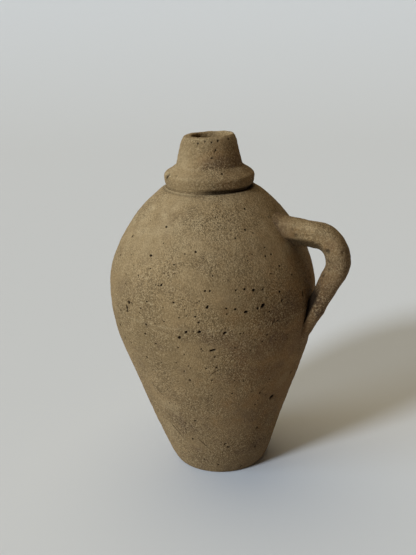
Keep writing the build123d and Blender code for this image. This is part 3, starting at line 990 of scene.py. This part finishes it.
def pressed_clay(inside, outside, up_rod, on_face, crease):
    """Clay smeared from the rod on to the wall, as a ring with a hollow face, soil and painted shade in
    its crease, and painted shadow that browns it all over.
    """
    bm = bmesh.new()
    turn_layer, ring, edges = first_ring(bm, SMEAR_STEPS)
    step = 1 if outside > inside else -1

    def place(share):
        """Places of a ring: on the rod at 0, on the wall at 1, and under the smear at None."""
        def at(turn):
            cross = crossing(turn, inside, outside)
            corner = rod.face(cross, turn)
            top = rod.face(cross + step * up_rod(turn), turn, EDGE_IN_ROD)
            centre, _ = rod.axis(cross)
            true = corner - slip(corner.z)
            _, out = on_wall(atan2(true.y, true.x), true.z)
            away = corner - (centre + slip(centre.z))
            away = (away - out * away.dot(out)).normalized()
            foot = worn_wall(corner + away * on_face(turn), EDGE_IN_WALL)
            if share is None:
                return corner - out * SMEAR_THICKNESS - away * SMEAR_THICKNESS
            blend = (1 - share) ** 2 * top + 2 * share * (1 - share) * corner + share**2 * foot
            return blend + out * ripple(blend, SMEAR_LUMPS, 5) * sin(pi * share)
        return at

    place_ring(ring, turn_layer, place(0))
    first_edges = edges
    for i in range(1, SMEAR_LOOPS + 1):
        ring, edges = next_ring(bm, edges)
        place_ring(ring, turn_layer, place(i / SMEAR_LOOPS))
    ring, edges = next_ring(bm, edges)
    place_ring(ring, turn_layer, place(None))
    bmesh.ops.bridge_loops(bm, edges=edges + first_edges)
    bmesh.ops.recalc_face_normals(bm, faces=bm.faces[:])
    # On so thin a smear the operator can choose the wrong side, so the volume decides
    if bm.calc_volume(signed=True) < 0:
        bmesh.ops.reverse_faces(bm, faces=bm.faces[:])
    # Soil and painted shade in the crease, and the body's painted shadow as a brown stain all over
    tint_all(bm, lambda vert: CREASE_SOIL_AND_SHADE * towards(vert[turn_layer], crease) ** 4, lambda vert: 1.0)
    return bm


def handle_pad():
    """Pad of clay smeared over the upper root, with a sharp crease left under it."""
    return pressed_clay(
        0,
        ROOT_LENGTH,
        lambda turn: 1.2 + 4 * towards(turn, 0) ** 2,
        lambda turn: 0.6 + 2.6 * towards(turn, -10) ** 2,
        180,
    )


def handle_wad():
    """Clay smeared over the end of the tail, with sharp creases left beside it."""
    return pressed_clay(
        rod.length,
        rod.length - TAIL_LENGTH,
        lambda turn: 1.2 + 5 * towards(turn, 0) ** 3,
        lambda turn: 0.6 + 5.5 * towards(turn, 0) ** 3,
        -150,
    )


# Finish


class Wash:
    """A shader socket that is added, taken away and multiplied like a number."""

    def __init__(self, tree, socket=None):
        self.tree, self.socket = tree, socket

    def node(self, kind, settings=None, values=None, output=0):
        """Adds a node: its settings first, then the values or links of its sockets."""
        made = self.tree.nodes.new(kind)
        for name, value in (settings or {}).items():
            setattr(made, name, value)
        for name, value in (values or {}).items():
            if isinstance(value, Wash):
                self.tree.links.new(value.socket, made.inputs[name])
            else:
                made.inputs[name].default_value = value
        return Wash(self.tree, made.outputs[output] if made.outputs else None)

    def maths(self, operation, *values):
        """Adds a node that works with numbers and sockets."""
        return self.node("ShaderNodeMath", {"operation": operation}, dict(enumerate(values)))

    def __add__(self, other):
        return self.maths("ADD", self, other)

    __radd__ = __add__

    def __rsub__(self, other):
        return self.maths("SUBTRACT", other, self)

    def __mul__(self, other):
        return self.maths("MULTIPLY", self, other)

    __rmul__ = __mul__

    def between(self, low, high):
        """Smooth mask that rises from 0 at low to 1 at high."""
        return self.node(
            "ShaderNodeMapRange",
            {"interpolation_type": "SMOOTHSTEP"},
            {"Value": self, "From Min": low, "From Max": high},
        )


def colour(red, green, blue):
    """A colour with its alpha."""
    return (red, green, blue, 1.0)


TAN = colour(0.28, 0.182, 0.087)
OLIVE = colour(0.185, 0.121, 0.058)
# Pale dust, also used for painted light on what faces up
PALE_DUST_AND_TOP_LIGHT = colour(0.36, 0.262, 0.146)
UMBER = colour(0.108, 0.064, 0.038)
# Brown of the firing flash, and of painted shade on the side away from the light
RUSSET = colour(0.212, 0.095, 0.028)
FLECK = colour(0.058, 0.039, 0.021)
# Near black, for soil and for painted shade in pits, in the groove under the collar and in the handle's
# creases
SOIL_AND_SHADE = colour(0.016, 0.01, 0.006)


def clay_finish(name):
    """Unglazed, sandy, stained clay."""
    material = bpy.data.materials.new(name)
    material.use_nodes = True
    tree = material.node_tree
    tree.nodes.clear()
    wash = Wash(tree)
    place = wash.node("ShaderNodeTexCoord", output="Object")

    def cloud(scale, detail=2.0, roughness=0.5, distortion=0.0, shift=(0, 0, 0)):
        """Cloudy shade over the piece, finer at a larger scale."""
        moved = wash.node("ShaderNodeMapping", {}, {"Vector": place, "Location": shift})
        values = {"Vector": moved, "Scale": scale, "Detail": detail, "Roughness": roughness}
        return wash.node("ShaderNodeTexNoise", {}, {**values, "Distortion": distortion})

    soil_and_shade, rough, stain_and_shade, flash_and_shade, pale = [
        wash.node("ShaderNodeAttribute", {"attribute_name": tone}, output="Fac") for tone in TONES
    ]
    drift = cloud(14, 3, 0.55, 0.3).between(0.34, 0.66)
    patch = cloud(38, 4, 0.6, 0.5, (0.3, 0.1, 0.2)).between(0.38, 0.66)
    mottle = cloud(170, 3, 0.6).between(0.36, 0.7)
    dusting = cloud(75, 4, 0.65, 0.0, (0.7, 0.2, 0.5)).between(0.55, 0.75)
    smudge = cloud(60, 5, 0.65, 0.4, (0.1, 0.9, 0.3)).between(0.5, 0.72)
    grain = cloud(760, 2, 0.6)
    pepper = cloud(1350, 1, 0.5, 0.0, (0.2, 0.6, 0.4))

    # Each coat lies over those before it where its mask is 1
    base = TAN
    for coat, mask in (
        (OLIVE, 0.55 * drift + 0.4 * patch),
        # Painted shade with the firing flash: browner clay on the side away from the light
        (RUSSET, 0.45 * flash_and_shade),
        # Stains, with painted shade on the lower wall and on the handle's root
        (UMBER, (0.5 + 0.4 * smudge) * stain_and_shade + 0.28 * smudge),
        # Pale dust and patches, with painted light on what faces up
        (PALE_DUST_AND_TOP_LIGHT, (0.3 + 0.7 * pale) * (0.45 * dusting + 0.65 * pale)),
        (OLIVE, 0.3 * mottle),
        (PALE_DUST_AND_TOP_LIGHT, (0.24 + 0.5 * rough) * (1 - grain.between(0.36, 0.48))),
        (FLECK, (0.17 + 0.36 * rough) * grain.between(0.5, 0.62)),
        (FLECK, (0.23 + 0.5 * rough) * pepper.between(0.54, 0.66)),
        # Soil, and painted shade in pits, in the groove under the collar and in the handle's creases
        (SOIL_AND_SHADE, soil_and_shade),
    ):
        base = wash.node("ShaderNodeMix", {"data_type": "RGBA"}, {0: mask, 6: base, 7: coat}, 2)

    relief = (0.65 * grain + 0.35 * pepper) * (0.4 + 0.6 * rough)
    bump = wash.node("ShaderNodeBump", {}, {"Height": relief, "Strength": 1.0, "Distance": 0.0014})
    shader = wash.node(
        "ShaderNodeBsdfPrincipled",
        {},
        {
            "Base Color": base,
            "Roughness": 0.86 + 0.1 * patch,
            "Normal": bump,
            "Specular IOR Level": 0.06,
        },
    )
    wash.node("ShaderNodeOutputMaterial", {}, {"Surface": shader})
    return material


clay = clay_finish("fired_clay")
luting = clay_finish("luting_clay_finish")


def smooth_object(bm, name, finish):
    """Makes a modelled form an object with a finish."""
    for face in bm.faces:
        face.smooth = True
    mesh = bpy.data.meshes.new(name)
    bm.to_mesh(mesh)
    bm.free()
    mesh.materials.append(finish)
    made = bpy.data.objects.new(name, mesh)
    bpy.context.scene.collection.objects.link(made)
    return made


def hand_over(bm, name, slot, finish, *nodes):
    """Makes a modelled piece an object in metres that rides with the jug and stands for its nodes."""
    bmesh.ops.scale(bm, vec=(MM, MM, MM), verts=bm.verts[:])
    piece = smooth_object(bm, name, finish)
    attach(piece, "root")
    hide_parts(*nodes)


hand_over(thrown_cone(), "thrown_cone", "clay", clay, "lower_body")
hand_over(belly_joint(), "belly_joint", "luting_clay", luting, "belly_lute")
hand_over(shoulder_dome(), "shoulder_dome", "clay", clay, "upper_body")
hand_over(collar_joint(), "collar_joint", "luting_clay", luting, "neck_lute")
hand_over(collar_and_mouth(), "collar_and_mouth", "clay", clay, "neck")
hand_over(loop_handle(), "loop_handle", "clay", clay, "handle")
hand_over(handle_pad(), "handle_pad", "luting_clay", luting, "handle_upper_lute")
hand_over(handle_wad(), "handle_wad", "luting_clay", luting, "handle_lower_lute")


# Stage: a pale sheet that runs up behind the jug, daylight from the left, and the camera

# Paper, in metres: half its width, its near end, its two level lengths, and its sweep up behind the jug
PAPER_HALF_WIDTH = 4.0
PAPER_NEAR = -3.0
PAPER_LENGTHS = (2.0, 2.6)
SWEEP_FOOT = 1.6
SWEEP_RADIUS = 9.0
SWEEP_TURN = radians(32)
SWEEP_STEPS = 24
PAPER_COLOUR = colour(0.676, 0.688, 0.722)


def paper_sheet():
    """Pale paper that lies under the jug and sweeps up behind it."""
    bm = bmesh.new()
    near = [bm.verts.new((x, PAPER_NEAR, 0)) for x in (-PAPER_HALF_WIDTH, PAPER_HALF_WIDTH)]
    edges = [bm.edges.new(near)]
    for reach in PAPER_LENGTHS:
        verts, edges = next_ring(bm, edges)
        bmesh.ops.translate(bm, verts=verts, vec=(0, reach, 0))
    middle = (0, SWEEP_FOOT, SWEEP_RADIUS)
    bmesh.ops.spin(bm, geom=edges, cent=middle, axis=(1, 0, 0), angle=SWEEP_TURN, steps=SWEEP_STEPS)
    bmesh.ops.rotate(bm, verts=bm.verts[:], cent=(0, 0, 0), matrix=Matrix.Rotation(VIEW_TURN, 3, "Z"))
    paper = bpy.data.materials.new("pale_paper")
    paper.use_nodes = True
    surface = paper.node_tree.nodes["Principled BSDF"].inputs
    surface["Base Color"].default_value = PAPER_COLOUR
    surface["Roughness"].default_value = 0.95
    surface["Specular IOR Level"].default_value = 0.1
    sheet = smooth_object(bm, "paper_sheet", paper)


# Lamps: name, turn from the right of the view, rise, width in degrees, strength and colour
LAMPS = [
    ("left_window", 195, 9, 30, 2.2, (0.7, 0.87, 1.0)),
    ("front_window", 221, 28, 11, 2.42, (0.83, 0.92, 1.0)),
    ("ceiling", 120, 68, 70, 1.1, (1.0, 0.89, 0.63)),
]

# Dim light from the rest of the room
ROOM_COLOUR = colour(1.0, 0.76, 0.5)
ROOM_STRENGTH = 0.085

# Camera: its tip down and its askew turn, its sensor and lens in millimetres, and in metres how far it
# stands back, left and up from the jug's foot, and how near it sees
CAMERA_TIP = radians(18.94)
CAMERA_ASKEW = radians(1.0)
SENSOR_WIDTH = 36
LENS_LENGTH = 50.42
CAMERA_BACK = 0.6099
CAMERA_LEFT = 0.0069
CAMERA_HEIGHT = 0.37135
NEAREST_SEEN = 0.02


def daylight():
    """The main window, a low one on the left, a pale ceiling, and a dim room."""
    for name, side, rise, width, strength, tinge in LAMPS:
        lamp = bpy.data.lights.new(name, "SUN")
        lamp.energy = strength
        lamp.angle = radians(width)
        lamp.color = tinge
        light = bpy.data.objects.new(name, lamp)
        level = VIEW_RIGHT * cos(radians(side)) + VIEW_AHEAD * sin(radians(side))
        toward = level * cos(radians(rise)) + Vector((0, 0, sin(radians(rise))))
        light.rotation_euler = toward.to_track_quat("Z", "Y").to_euler()
        bpy.context.scene.collection.objects.link(light)
    room = bpy.data.worlds.new("room")
    room.use_nodes = True
    air = room.node_tree.nodes["Background"].inputs
    air["Color"].default_value = ROOM_COLOUR
    air["Strength"].default_value = ROOM_STRENGTH
    bpy.context.scene.world = room


def stand_camera():
    """Camera where the photograph was taken from, tipped down and a little askew."""
    ahead = VIEW_AHEAD * cos(CAMERA_TIP) - Vector((0, 0, sin(CAMERA_TIP)))
    up = VIEW_AHEAD * sin(CAMERA_TIP) + Vector((0, 0, cos(CAMERA_TIP)))
    right = VIEW_RIGHT * cos(CAMERA_ASKEW) - up * sin(CAMERA_ASKEW)
    up = up * cos(CAMERA_ASKEW) + VIEW_RIGHT * sin(CAMERA_ASKEW)
    lens = bpy.data.cameras.new("camera")
    lens.sensor_width = SENSOR_WIDTH
    lens.lens = LENS_LENGTH
    lens.clip_start = NEAREST_SEEN
    camera = bpy.data.objects.new("camera", lens)
    place = -CAMERA_BACK * VIEW_AHEAD - CAMERA_LEFT * VIEW_RIGHT + Vector((0, 0, CAMERA_HEIGHT))
    turn = Matrix((right, up, -ahead)).transposed()
    camera.matrix_world = Matrix.Translation(place) @ turn.to_4x4()
    bpy.context.scene.collection.objects.link(camera)
    bpy.context.scene.camera = camera


paper_sheet()
daylight()
stand_camera()
bpy.context.scene.view_settings.view_transform = "Standard"

bpy.context.view_layer.update()
